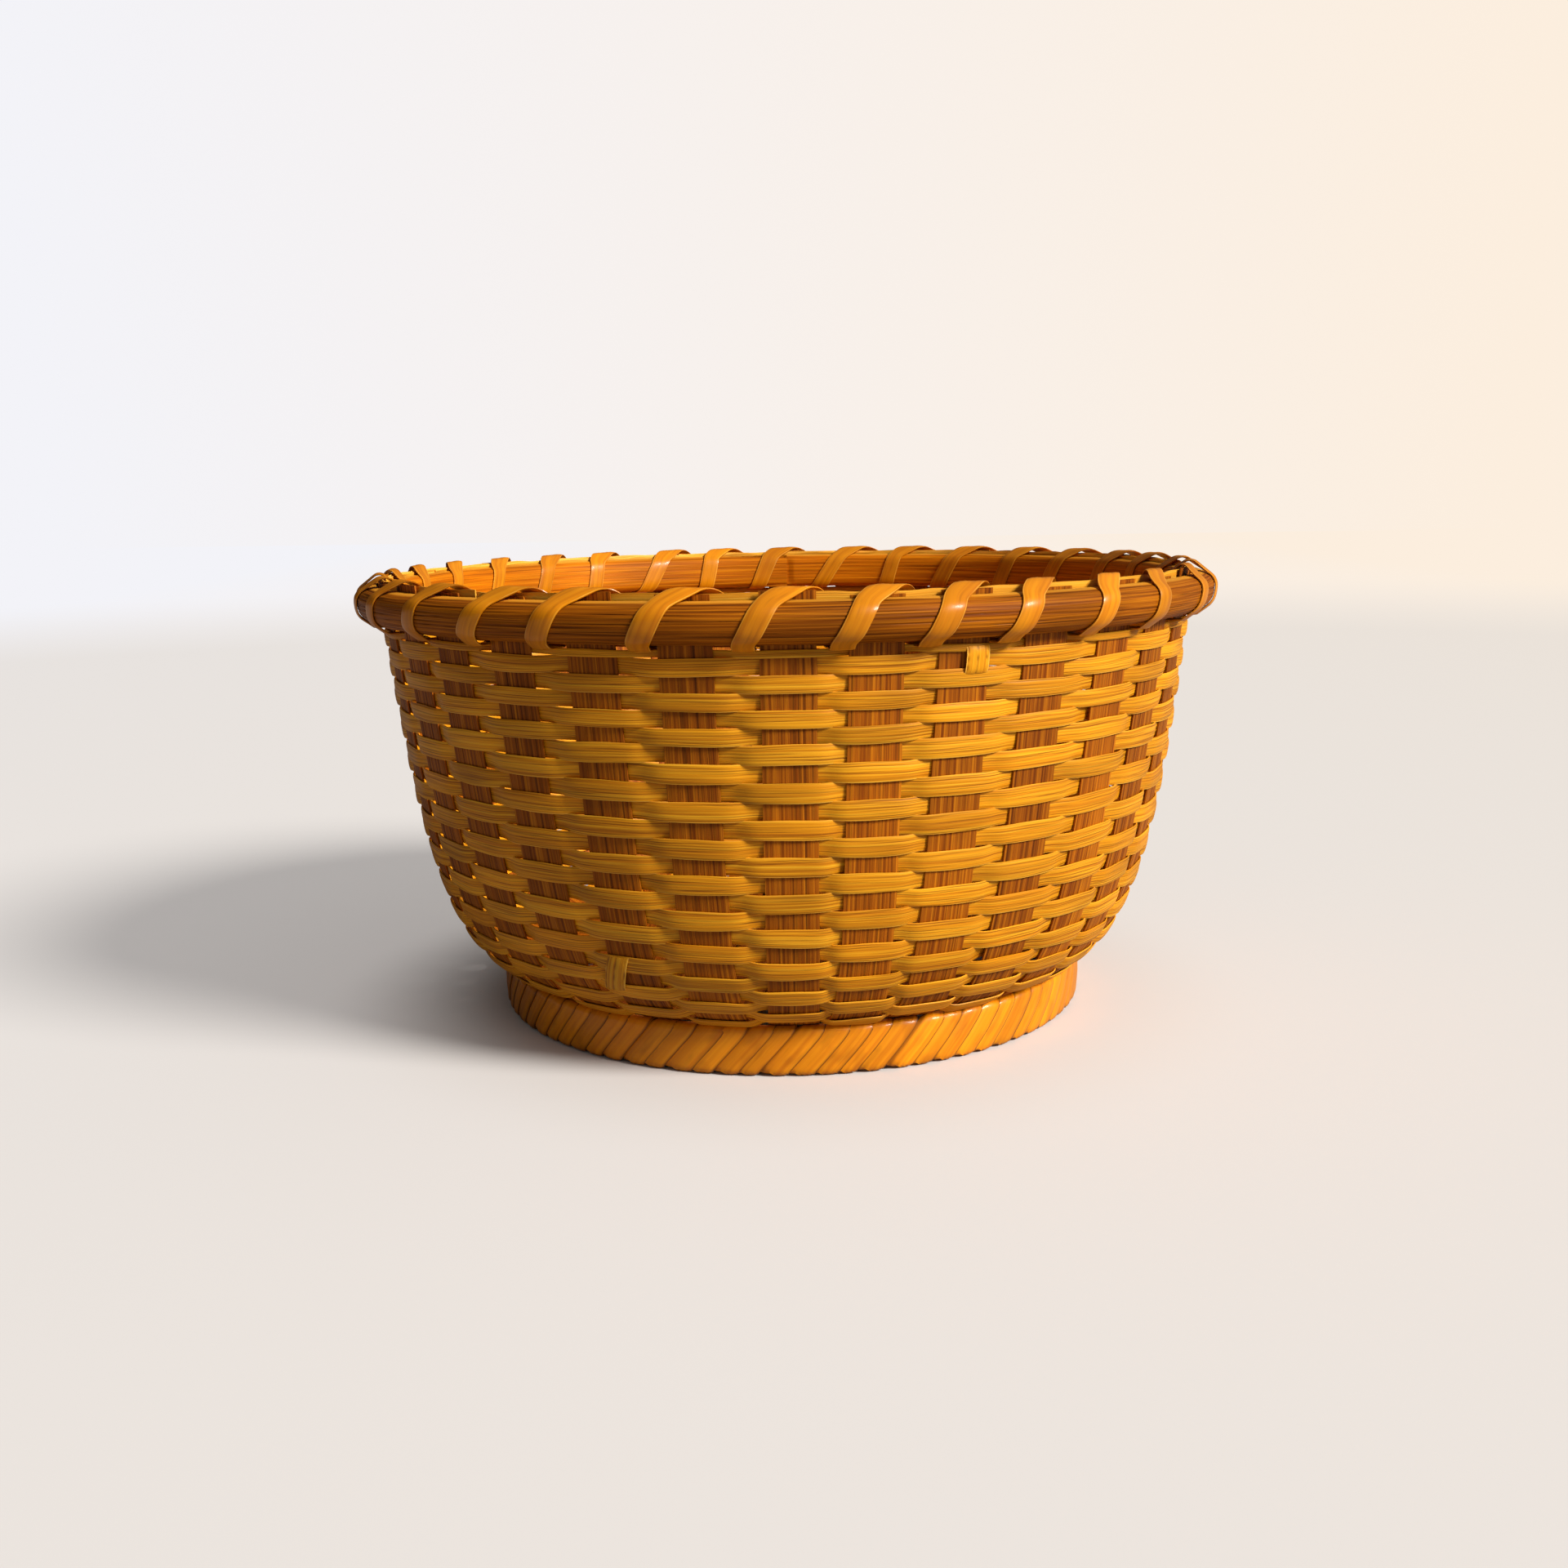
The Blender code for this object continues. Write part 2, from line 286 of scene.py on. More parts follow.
def partFaces(part):
    # quads join (u, v), (u+1, v), (u+1, v+1), (u, v+1); an open part gets one flat face at each end
    count, columns = part["points"].shape[:2]
    along, around = part["along"], part["around"]
    u, v = np.arange(count if part["closed"] else count - 1)[:, None], np.arange(columns)[None, :]
    nextU, nextV = (u + 1) % count, (v + 1) % columns
    quads = np.stack(np.broadcast_arrays(
        u * columns + v, nextU * columns + v, nextU * columns + nextV, u * columns + nextV), axis=-1).reshape(-1, 4)
    pairs = ((u, v), (u + 1, v), (u + 1, v + 1), (u, v + 1))
    corners = [np.stack(np.broadcast_arrays(along[a], around[b]), axis=-1) for a, b in pairs]
    corners = np.stack(corners, axis=2).reshape(-1, 4, 2)
    flat = part["points"].reshape(-1, 3)
    a, b, c, d = (flat[quads[:, k]] for k in range(4))
    volume = (np.cross(a, b) * c).sum() + (np.cross(a, c) * d).sum()
    caps = []
    if not part["closed"]:
        ring = np.arange(columns)
        caps = [(ring[::-1], np.column_stack((np.full(columns, along[0]), around[:-1]))[::-1]),
                ((count - 1) * columns + ring, np.column_stack((np.full(columns, along[-1]), around[:-1])))]
        for ring, _ in caps:
            ends = flat[ring]
            volume += (np.cross(ends[:-1], ends[1:]) * ends[0]).sum()
    if volume < 0:
        quads, corners = quads[:, ::-1], corners[:, ::-1]
        caps = [(ring[::-1], uv[::-1]) for ring, uv in caps]
    return quads, corners, caps


def makePiece(name, parts, finish, slot, *nodes):
    # one mesh from one or more grids, with its fibre map, its values and its finish, that stands for CAD nodes
    points, loops, uvs, sizes, start = [], [], [], [], 0
    for part in parts:
        quads, corners, caps = partFaces(part)
        points.append(part["points"].reshape(-1, 3))
        loops.append((quads + start).ravel())
        uvs.append(corners.reshape(-1, 2))
        sizes.append(np.full(len(quads), 4))
        for ring, uv in caps:
            loops.append(ring + start)
            uvs.append(uv)
            sizes.append(np.array([len(ring)]))
        start += len(points[-1])
    points, loops, uvs, sizes = (np.concatenate(lists) for lists in (points, loops, uvs, sizes))
    mesh = bpy.data.meshes.new(name)
    mesh.vertices.add(len(points))
    mesh.vertices.foreach_set("co", points.astype(np.float32).ravel())
    mesh.loops.add(len(loops))
    mesh.loops.foreach_set("vertex_index", loops.astype(np.int32))
    mesh.polygons.add(len(sizes))
    mesh.polygons.foreach_set("loop_start", np.concatenate(([0], np.cumsum(sizes)[:-1])).astype(np.int32))
    mesh.update(calc_edges=True)
    mesh.validate()
    mesh.uv_layers.new(name="fibre").data.foreach_set("uv", uvs.astype(np.float32).ravel())
    for key in ("tone", "groove", "strand"):
        values = np.concatenate([part["values"][key] for part in parts]).astype(np.float32)
        mesh.attributes.new(key, "FLOAT", "POINT").data.foreach_set("value", values)
    mesh.shade_smooth()
    mesh.set_sharp_from_angle(angle=math.radians(50))
    mesh.materials.append(finish)
    piece = bpy.data.objects.new(name, mesh)
    bpy.context.scene.collection.objects.link(piece)
    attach(piece, "root")
    if nodes:
        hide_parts(*nodes)
    return piece


# bamboo finishes

def bamboo(name, look):
    # long thin noise on the fibre map gives fibres, streaks, blotches and flecks; the piece's values give the rest
    material = bpy.data.materials.new(name)
    material.use_nodes = True
    tree = material.node_tree
    shader = tree.nodes["Principled BSDF"]
    add = nodeMaker(tree)
    fibreMap = add("ShaderNodeUVMap", uv_map="fibre").outputs["UV"]
    strand = add("ShaderNodeAttribute", attribute_name="strand").outputs["Fac"]
    split = add("ShaderNodeSeparateXYZ", {"Vector": fibreMap})
    place = add("ShaderNodeCombineXYZ", {"X": split.outputs["X"], "Y": split.outputs["Y"], "Z": strand}).outputs["Vector"]

    def grain(size, detail):
        length, width = size
        scaled = add("ShaderNodeVectorMath", {0: place, 1: (1 / length, 1 / width, 7.0)}, operation="MULTIPLY")
        return add("ShaderNodeTexNoise", {"Vector": scaled.outputs["Vector"], "Scale": 1.0, "Detail": detail}).outputs["Fac"]

    def ranged(value, low, high, toLow, toHigh):
        return add("ShaderNodeMapRange", {
            "Value": value, "From Min": low, "From Max": high, "To Min": toLow, "To Max": toHigh}).outputs["Result"]

    def mixed(factor, first, second):
        node = add("ShaderNodeMix", {0: factor, 6: first, 7: (*rgb(*second), 1)}, data_type="RGBA")
        return node.outputs[2]

    fibres, streaks = grain(look["fibreSize"], 4), grain(look["streakSize"], 3)
    blotches, flecks = grain(look["blotchSize"], 2), grain(look["fleckSize"], 2)
    colour = add("ShaderNodeValToRGB", {"Fac": ranged(streaks, 0.30, 0.70, 0, 1)})
    ramp = colour.color_ramp
    ramp.elements.new(0.5)
    for element, key in zip(ramp.elements, ("deep", "middle", "light")):
        element.color = (*rgb(*look[key]), 1)
    colour = mixed(ranged(fibres, 0.45, 0.70, 0, look["fibreShow"]), colour.outputs["Color"], look["deep"])
    colour = mixed(ranged(blotches, 0.52, 0.74, 0, look["blotchShow"]), colour, look["blotch"])
    colour = mixed(ranged(flecks, 0.64, 0.72, 0, look["fleckShow"]), colour, look["fleck"])
    # this value darkens towards the fleck colour for the grain's grooves, and on wound strips also for painted shade at
    # seams and narrow sides; below zero it pales towards the edge colour
    groove = add("ShaderNodeAttribute", attribute_name="groove").outputs["Fac"]
    colour = mixed(ranged(groove, 0.1, 1.0, 0, look["grooveShow"]), colour, look["fleck"])
    colour = mixed(ranged(groove, 0.0, -1.0, 0, 1), colour, look["edge"])
    tone = add("ShaderNodeAttribute", attribute_name="tone").outputs["Fac"]
    value = ranged(tone, -1.0, 1.0, 1 - look["toneSpread"], 1 + look["toneSpread"])
    colour = add("ShaderNodeHueSaturation", {"Color": colour, "Value": value}).outputs["Color"]
    tree.links.new(colour, shader.inputs["Base Color"])
    tree.links.new(ranged(fibres, 0.3, 0.7, *look["roughness"]), shader.inputs["Roughness"])
    shader.inputs["Specular IOR Level"].default_value = look["specular"]
    shader.inputs["Coat Weight"].default_value = look["coat"]
    shader.inputs["Coat Roughness"].default_value = look["coatRoughness"]
    relief = add("ShaderNodeMath", {0: fibres, 1: streaks}, operation="ADD").outputs["Value"]
    bump = add("ShaderNodeBump", {"Height": relief, "Strength": look["bump"], "Distance": look["bumpDepth"]})
    tree.links.new(bump.outputs["Normal"], shader.inputs["Normal"])
    return material


weaverLook = {
    "deep": (196, 116, 8), "middle": (228, 150, 18), "light": (242, 176, 38),
    "blotch": (190, 118, 12), "fleck": (112, 56, 4), "edge": (250, 200, 84),
    "fibreSize": (64.0, 0.13), "fibreShow": 0.70, "streakSize": (150.0, 0.40),
    "blotchSize": (14.0, 2.4), "blotchShow": 0.45, "fleckSize": (44.0, 0.12), "fleckShow": 0.75,
    "grooveShow": 0.85, "toneSpread": 0.20, "roughness": (0.38, 0.56), "specular": 0.16,
    "coat": 0.03, "coatRoughness": 0.3, "bump": 0.6, "bumpDepth": 0.09 * mm,
}
stakeLook = dict(
    weaverLook, deep=(116, 50, 2), middle=(168, 90, 7), light=(200, 118, 14), blotch=(116, 54, 3),
    fleck=(46, 18, 1), edge=(180, 106, 18), fibreSize=(18.0, 0.16), streakSize=(60.0, 0.55),
    fleckSize=(14.0, 0.14), fleckShow=0.65, grooveShow=0.75, roughness=(0.45, 0.68), specular=0.12, coat=0.0,
    bumpDepth=0.12 * mm)
bandLook = dict(
    stakeLook, deep=(112, 51, 3), middle=(162, 87, 7), light=(192, 112, 14), blotch=(108, 53, 4),
    fleck=(50, 20, 1), edge=(220, 146, 40), fibreSize=(26.0, 0.14), streakSize=(36.0, 0.50),
    blotchSize=(30.0, 2.4), fleckSize=(12.0, 0.11), roughness=(0.38, 0.60), specular=0.07)
# a brighter copy of the band's colours for the inner band: painted light, as if the basket's inside were brightly lit
innerBandLitLook = dict(
    bandLook, deep=(168, 84, 3), middle=(200, 108, 5), light=(222, 132, 12), blotch=(160, 82, 4), fleck=(110, 52, 2))
fillerLook = dict(
    weaverLook, deep=(218, 140, 26), middle=(244, 172, 48), light=(252, 194, 72), blotch=(206, 130, 28),
    edge=(254, 202, 98), grooveShow=0.6, coat=0.0, roughness=(0.45, 0.65))
# on the lash the edge colour is a painted highlight along its edges
lashLook = dict(
    weaverLook, deep=(192, 108, 4), middle=(208, 124, 7), light=(220, 138, 12), blotch=(172, 96, 5),
    fleck=(120, 62, 4), edge=(244, 190, 80), fibreSize=(22.0, 0.20), fibreShow=0.2, streakSize=(50.0, 0.9),
    blotchShow=0.35, fleckShow=0.15, grooveShow=0.28, roughness=(0.30, 0.44), specular=0.2, coat=0.12,
    coatRoughness=0.11, bump=0.35, bumpDepth=0.05 * mm)
hoopLook = dict(bandLook, middle=(136, 72, 8), light=(160, 92, 14))
wrapLook = dict(
    lashLook, deep=(212, 118, 6), middle=(226, 134, 8), light=(236, 148, 14), blotch=(150, 74, 4), fleck=(84, 38, 2),
    fibreShow=0.12, blotchSize=(7.0, 3.0), blotchShow=0.45, fleckShow=0.04, grooveShow=0.95,
    coat=0.18)

weaverFinish = bamboo("weaverBamboo", weaverLook)
stakeFinish = bamboo("stakeBamboo", stakeLook)
bandFinish = bamboo("rimBandBamboo", bandLook)
innerBandLitFinish = bamboo("innerBandBambooPaintedLight", innerBandLitLook)
fillerFinish = bamboo("rimFillerBamboo", fillerLook)
lashFinish = bamboo("lashBamboo", lashLook)
hoopFinish = bamboo("footHoopBamboo", hoopLook)
wrapFinish = bamboo("footWrapBamboo", wrapLook)
print("finishes made")


# wall: the line that every stake follows

wall = {
    "baseHeight": 8.7 * mm,
    "turnRadius": 53.6 * mm,
    "mouthRadius": 85.0 * mm,
    "rimHeight": 91.0 * mm,
    "baseReach": 21.7 * mm,
    "wallReach": 56.5 * mm,
    "mouthLean": 6.4 * mm,
    "overrun": 6.0 * mm,
    "steps": 3000,
}


def wallLine(w):
    # a cubic Bezier curve, (1-t)^3 a + 3(1-t)^2 t b + 3(1-t) t^2 c + t^3 d, carried on in line past the rim
    a = np.array((w["turnRadius"], w["baseHeight"]))
    d = np.array((w["mouthRadius"], w["rimHeight"]))
    b, c = a + (w["baseReach"], 0), d - (w["mouthLean"], w["wallReach"])
    t = np.linspace(0, 1, w["steps"])[:, None]
    line = (1 - t) ** 3 * a + 3 * (1 - t) ** 2 * t * b + 3 * (1 - t) * t**2 * c + t**3 * d
    line = np.vstack((line, d + unit(d - c) * w["overrun"]))
    arcs = np.concatenate(([0], np.cumsum(np.linalg.norm(np.diff(line, axis=0), axis=1))))
    return arcs, line, unit(np.gradient(line, arcs, axis=0))


wallArcs, wallPoints, wallSlopes = wallLine(wall)
rimArc = wallArcs[-2]


def wallAt(arc):
    # radius and height of the stakes' middle, the direction up the wall and the direction out of it
    radius, height = (np.interp(arc, wallArcs, wallPoints[:, k]) for k in (0, 1))
    up = np.stack([np.interp(arc, wallArcs, wallSlopes[:, k]) for k in (0, 1)], axis=-1)
    return radius, height, up, np.stack((up[..., 1], -up[..., 0]), axis=-1)


def arcAtHeight(height):
    return np.interp(height, wallPoints[:, 1], wallArcs)


def arcAtRadius(radius):
    return np.interp(radius, wallPoints[:, 0], wallArcs)


def wallRadius(height):
    return np.interp(height, wallPoints[:, 1], wallPoints[:, 0])


# where the stakes stand

stakePlaces = {
    "seenFirst": 20,
    "seenDrift": (-0.78, -0.69, -0.09, 0.36, 0.99, -0.06, -0.58, -0.26, 0.82, 0.33),  # degrees
    "otherDrift": 0.55,
    "seed": 4,
}


def stakeDrifts(p):
    shifts = np.random.default_rng(p["seed"]).uniform(-1, 1, stakeCount) * p["otherDrift"]
    shifts[p["seenFirst"]:p["seenFirst"] + len(p["seenDrift"])] = p["seenDrift"]
    return np.radians(shifts)


stakeDrift = stakeDrifts(stakePlaces)
stakeAngle = (np.arange(stakeCount) + 0.5) * stakeStep + stakeDrift


def angleAt(place):
    # the angle of a place counted in stakes: straight between neighbours, and round again after the last
    turns = np.floor(place / stakeCount)
    angles = np.concatenate((stakeAngle, stakeAngle[:1] + 2 * np.pi))
    return np.interp(place - turns * stakeCount, np.arange(stakeCount + 1), angles) + turns * 2 * np.pi


# weavers

weaver = {
    "rows": 24,
    "footRadius": 62.6 * mm,
    "aboveFoot": 0.15 * mm,
    "firstWider": 0.7 * mm,
    "topHeight": 82.4 * mm,
    "rowShares": (0, 0.21, 0.75, 0.96, 1),
    "heightShares": (0, 0.205, 0.787, 0.985, 1),
    "thickness": 0.46 * mm,
    "bow": 0.05 * mm,
    "lift": 0.58 * mm,
    "edgeHold": 0.90,          # share of the lift that is left at a stake's edge
    "stakeHalf": 4.75 * mm,
    "narrow": 1.01,            # width where rows cross, as a share of the row's pitch
    "wide": 1.055,             # width over and under the stakes
    "sway": 0.22 * mm,
    "tilt": 2.0,               # degrees
    "lap": 0.22,               # of a stake's pitch, each way
    "lapDrop": 0.50 * mm,
    "perStake": 14,
    "columns": (26, 8),
    "grooves": {"count": 8, "width": 0.050, "wander": 0.06, "waves": 24, "depth": 0.060 * mm},
    "pale": (0.45, 0.15),
}


def rowArc(row):
    w = weaver
    lowest, highest = arcAtRadius(w["footRadius"]) + w["aboveFoot"], arcAtHeight(w["topHeight"]) + 0.3 * mm
    share = np.interp(row / w["rows"], w["rowShares"], w["heightShares"])
    return lowest + (highest - lowest) * share


def weaverPart(row):
    # the row stays at its place up the wall and goes out of it by lift tanh(k wave) / tanh(k), with
    # wave = -cos(pi (stake + row)); it is wider where wave^2 is 1, and its last end lies inside its first
    w = weaver
    first = (5 * row + 1) % stakeCount
    first += (first + row) % 2
    count = stakeCount * w["perStake"] + 8
    place = np.linspace(first - w["lap"], first + stakeCount + w["lap"], count)
    turns = place / stakeCount
    low, high = rowArc(row) - w["firstWider"] * (row == 0), rowArc(row + 1)
    middle = (low + high) / 2
    radius = wallAt(middle)[0]
    edge = math.cos(math.pi * w["stakeHalf"] / (radius * stakeStep))
    k = math.atanh(w["edgeHold"]) / max(edge, 0.3)
    wave = -np.cos(np.pi * (place + row))
    lift = w["lift"] * np.tanh(k * wave) / math.tanh(k) * (1 + 0.05 * drift(turns, row + 50, 3, 20))
    lift -= w["lapDrop"] * smooth(place, place[-1] - 0.85, place[-1] - 2 * w["lap"])
    shared = drift(turns, 7, 1, 5) * math.sin(middle / (9 * mm)) + drift(turns, 8, 1, 4) * math.cos(middle / (13 * mm))
    sway = w["sway"] * (0.6 * shared + 0.5 * drift(turns, row + 100, 2, 24))
    half = (high - low) / 2 * (w["narrow"] + (w["wide"] - w["narrow"]) * wave**2)
    half = half * (1 + 0.022 * drift(turns, row + 150, 4, 40))
    tilt = np.radians(w["tilt"]) * (wave + 0.7 * drift(turns, row + 200, 3, 30))
    section = stripSection(w["columns"], w["thickness"], 0.55, 0.5, w["bow"])
    heights, values = dressedSection(turns, section, w["grooves"], row + 10, w["pale"])
    x = section[0] * half[:, None]
    r, z, up, out = wallAt(middle + sway)
    offset = lift[:, None] + heights - x * np.sin(tilt)[:, None]
    x = x * np.cos(tilt)[:, None]
    radii = r[:, None] + up[:, :1] * x + out[:, :1] * offset
    levels = z[:, None] + up[:, 1:] * x + out[:, 1:] * offset
    points = turnedTo(radii, angleAt(place)[:, None], levels)
    tone = 0.5 * drift(turns, row + 300, 1, 18)[:, None] + 0.25 * math.sin(row * 2.4)
    along = turns * 2 * np.pi * radius / mm
    return gridPart(points, False, along, section, (high - low) / 2, values, tone, row * 0.37)


for row in range(weaver["rows"]):
    makePiece(f"weaver_row_{row + 1:02d}", [weaverPart(row)], weaverFinish, "weaver_bamboo", f"weaver_{row + 1:02d}")

ends = {
    "places": (((21.66, 20.4), (21.86, 28.6)), ((26.12, 81.4), (26.13, 86.2))),      # stakes, mm up the wall
    "tones": (-1.3, 0.6),
    "width": 4.3 * mm,
    "thickness": 0.34 * mm,
    "lift": 1.15 * mm,
    "dip": 0.45 * mm,
    "stations": 24,
    "columns": (16, 6),
    "grooves": {"count": 3, "width": 0.07, "wander": 0.02, "waves": 3, "depth": 0.10 * mm},
}


def endPart(e, number):
    # a weaver's end turned up against the wall: it stands off by lift, less dip t^4 towards both of its ends
    (firstPlace, firstArc), (lastPlace, lastArc) = e["places"][number]
    turns = np.linspace(0, 1, e["stations"])
    t = 2 * turns - 1
    section = stripSection(e["columns"], e["thickness"], 0.5, 0.5, 0.12 * mm)
    heights, values = dressedSection(turns, section, e["grooves"], 25 + number, (0.6, 0.6))
    r, z, up, out = wallAt((firstArc + (lastArc - firstArc) * turns) * mm)
    offset = (e["lift"] - e["dip"] * t**4)[:, None] + heights
    angle = angleAt(firstPlace + (lastPlace - firstPlace) * turns)[:, None] + section[0] * e["width"] / 2 / r[:, None]
    points = turnedTo(r[:, None] + out[:, :1] * offset, angle, z[:, None] + out[:, 1:] * offset)
    return gridPart(points, False, turns * (lastArc - firstArc), section, e["width"] / 2, values,
                    e["tones"][number], 9.1 + number)


makePiece("weaver_ends_bamboo", [endPart(ends, number) for number in range(len(ends["places"]))], weaverFinish,
          "weaver_bamboo")
print("weavers made")


# strips: they cross in the base and stand up as the stakes

strip = {
    "eachWay": 8,
    "thickness": 0.54 * mm,
    "weaveLevel": 0.40 * mm,
    "sharpness": 3.2,
    "baseWidth": 8.2 * mm,
    "stakeWidth": 9.5 * mm,
    "flatHalf": 4.35 * mm,
    "joinRadius": 63.5 * mm,
    "seenProud": {20: 0.6, 21: 0.4, 22: 1.45, 23: 1.0, 24: 1.5, 25: 0.5, 26: 0.9, 27: 0.4, 28: 0.7, 29: 0.3},  # mm
    "proud": (0.2, 1.4),
    "cup": 0.75,
    "columns": (34, 10),
    "grooves": {"count": 11, "width": 0.030, "wander": 0.035, "waves": 3, "depth": 0.075 * mm},
    "steps": (112, 16, 92),
}
basePitch = wall["turnRadius"] * stakeStep


def proudOf(stake):
    low, high = strip["proud"]
    return strip["seenProud"].get(stake, low + (high - low) * ((stake * 37) % 11) / 10) * mm


def risingHalf(start, level, azimuth, proud):
    # from the last crossing: a Hermite curve in plan from straight on to outwards, then the wall's line to the top
    s = strip
    _, turnSteps, wallSteps = s["steps"]
    outwards = np.array((math.cos(azimuth), math.sin(azimuth)))
    end = outwards * s["joinRadius"]
    reach = np.linalg.norm(end - start)
    t = np.linspace(0, 1, turnSteps + 1)[1:-1, None]
    ahead = np.array((reach, 0))
    plan = (2 * t**3 - 3 * t**2 + 1) * start + (t**3 - 2 * t**2 + t) * ahead
    plan += (3 * t**2 - 2 * t**3) * end + (t**3 - t**2) * outwards * reach
    heading = (6 * t**2 - 6 * t) * (start - end) + (3 * t**2 - 4 * t + 1) * ahead + (3 * t**2 - 2 * t) * outwards * reach
    distance = np.linalg.norm(plan, axis=1)
    height = wallAt(arcAtRadius(distance))[1] + level * (1 - smooth(t[:, 0], 0, 0.6))
    arcs = np.linspace(arcAtRadius(s["joinRadius"]), rimArc + proud, wallSteps)
    radius, rise, _, _ = wallAt(arcs)
    path = np.vstack((np.column_stack((plan, height)), np.column_stack((radius[:, None] * outwards, rise))))
    return path, np.vstack((unit(heading), np.tile(outwards, (wallSteps, 1))))


def stripPart(number, way):
    # a strip over the base, level +-tanh(k cos) at the crossings, with a rising half at each end
    s = strip
    half = (s["eachWay"] - 1) / 2
    offset = (number - half) * basePitch
    reach = basePitch * half + s["flatHalf"]
    sign = 1 if number % 2 == way else -1
    x = np.linspace(-reach, reach, s["steps"][0])
    level = sign * s["weaveLevel"] * np.tanh(s["sharpness"] * np.cos(np.pi * (x / basePitch + half)))
    path = np.column_stack((x, np.full(x.size, offset), wall["baseHeight"] + level))
    heading = np.tile((1.0, 0.0), (x.size, 1))
    angle = (number - half) * stakeStep
    stakes = (number - 4, 19 - number) if way == 0 else (11 - number, number - 12)
    signs = (1, -1) if way == 0 else (-1, 1)
    for stake, turn, front in zip(stakes, signs, (True, False)):
        azimuth = angle + turn * stakeDrift[stake % stakeCount]
        start = np.array((reach, offset))
        rise, headings = risingHalf(start, level[-1] if front else level[0], azimuth, proudOf(stake % stakeCount))
        if front:
            path, heading = np.vstack((path, rise)), np.vstack((heading, headings))
        else:
            path = np.vstack((rise[::-1] * (-1, 1, 1), path))
            heading = np.vstack((headings[::-1] * (1, -1), heading))
    along = lengthsAlong(path)
    turns = along / 400
    distance = np.linalg.norm(path[:, :2], axis=1)
    seed = number + 1 + 10 * way
    width = s["baseWidth"] + (s["stakeWidth"] - s["baseWidth"]) * smooth(distance, 52 * mm, 60 * mm)
    width = width * (1 + 0.012 * drift(turns, seed + 400, 3, 30))
    section = stripSection(s["columns"], s["thickness"], 0.45, 0.45)
    heights, values = dressedSection(turns, section, s["grooves"], seed + 40, (0.25, 0.25))
    across = section[0] * width[:, None] / 2
    cup = s["cup"] * smooth(distance, 54 * mm, 62 * mm) / (2 * np.maximum(distance, 50 * mm))
    heights = heights - across**2 * cup[:, None]
    sides = np.column_stack((-heading[:, 1], heading[:, 0], np.zeros(len(path))))
    points = carried(path, np.cross(sides, np.gradient(path, axis=0)), across, heights)
    if way == 1:
        points = points[..., (1, 0, 2)]
    tone = 0.45 * drift(turns, seed + 500, 1, 12)[:, None] + 0.3 * math.sin(seed * 1.7)
    return gridPart(points, False, along, section, s["stakeWidth"] / 2, values, tone, seed * 0.41)


for way, axis in enumerate("xy"):
    for number in range(strip["eachWay"]):
        name = f"strip_{axis}_{number + 1}"
        makePiece(f"{name}_bamboo", [stripPart(number, way)], stakeFinish, "stake_bamboo", name)
print("stakes and base made")


# rim bands and filler

rim = {
    "stations": 720,
    "startAngle": 96,          # degrees, at the back
    "lap": 13,                 # degrees of the scarf where the hoop's ends meet
    "outer": {"near": 0.65 * mm, "far": 5.12 * mm, "top": 91.0 * mm, "bottom": 83.5 * mm, "columns": (70, 12),
              "power": 2.7, "root": 0.48, "pale": (0.0, 0.9),
              "grooves": {"count": 13, "width": 0.024, "wander": 0.028, "waves": 22, "depth": 0.13 * mm}},
    "inner": {"near": -1.75 * mm, "far": -3.75 * mm, "top": 91.2 * mm, "bottom": 82.95 * mm, "columns": (44, 10),
              "power": 4.0, "root": 0.45, "pale": (0.3, 0.6),
              "grooves": {"count": 9, "width": 0.030, "wander": 0.030, "waves": 14, "depth": 0.09 * mm}},
}


def bandShape(band, x):
    # how far the face stands out of the band's flat side: thickness (1 - |x|^power)^root
    thickness = abs(band["far"] - band["near"])
    return thickness * np.clip(1 - np.abs(x) ** band["power"], 0, 1) ** band["root"]


def bandFace(band, x):
    # radius and height of the face where x runs from the lower edge, -1, to the upper edge, 1
    level = (band["top"] + band["bottom"]) / 2 + x * (band["top"] - band["bottom"]) / 2
    return np.column_stack((wallRadius(level) + band["near"] + np.sign(band["far"]) * bandShape(band, x), level))


def bandPart(band, seed):
    # a hoop beside the stakes, flat towards them and round away from them; its two ends overlap, and there each
    # loses what lies past a slanting cut
    r = rim
    share = r["lap"] / 360
    turns = np.linspace(0, 1 + share, r["stations"])
    angles = np.radians(r["startAngle"]) + turns * 2 * np.pi
    thickness = abs(band["far"] - band["near"])
    outer, inner = band["columns"]
    x = np.concatenate((np.sin(np.linspace(-np.pi / 2, np.pi / 2, outer)), np.linspace(0.99, -0.99, inner)))
    front = np.arange(outer + inner) < outer
    section = (x, np.where(front, bandShape(band, x), 0), front)
    heights, values = dressedSection(turns, section, band["grooves"], seed, band["pale"])
    cut = thickness * (0.75 - 0.5 * np.clip(turns / share, 0, 1))[:, None]
    heights = np.where(turns[:, None] < share, np.maximum(heights, cut + 0.02 * mm), heights)
    cut = thickness * (0.75 - 0.5 * np.clip((turns - 1) / share, 0, 1))[:, None]
    heights = np.where(turns[:, None] > 0.998, np.minimum(heights, cut - 0.02 * mm), heights)
    tall = (band["top"] - band["bottom"]) / 2
    levels = (band["top"] + band["bottom"]) / 2 + x * tall * (1 - 0.012 * np.abs(drift(turns, seed + 3, 4, 40)))[:, None]
    radii = wallRadius(levels) + band["near"] + np.sign(band["far"]) * heights
    points = turnedTo(radii, angles[:, None], levels)
    tone = 0.5 * drift(turns, seed + 4, 1, 16)[:, None]
    along = turns * 2 * np.pi * (wall["mouthRadius"] + band["near"]) / mm
    return gridPart(points, False, along, section, tall, values, tone, seed * 0.3)


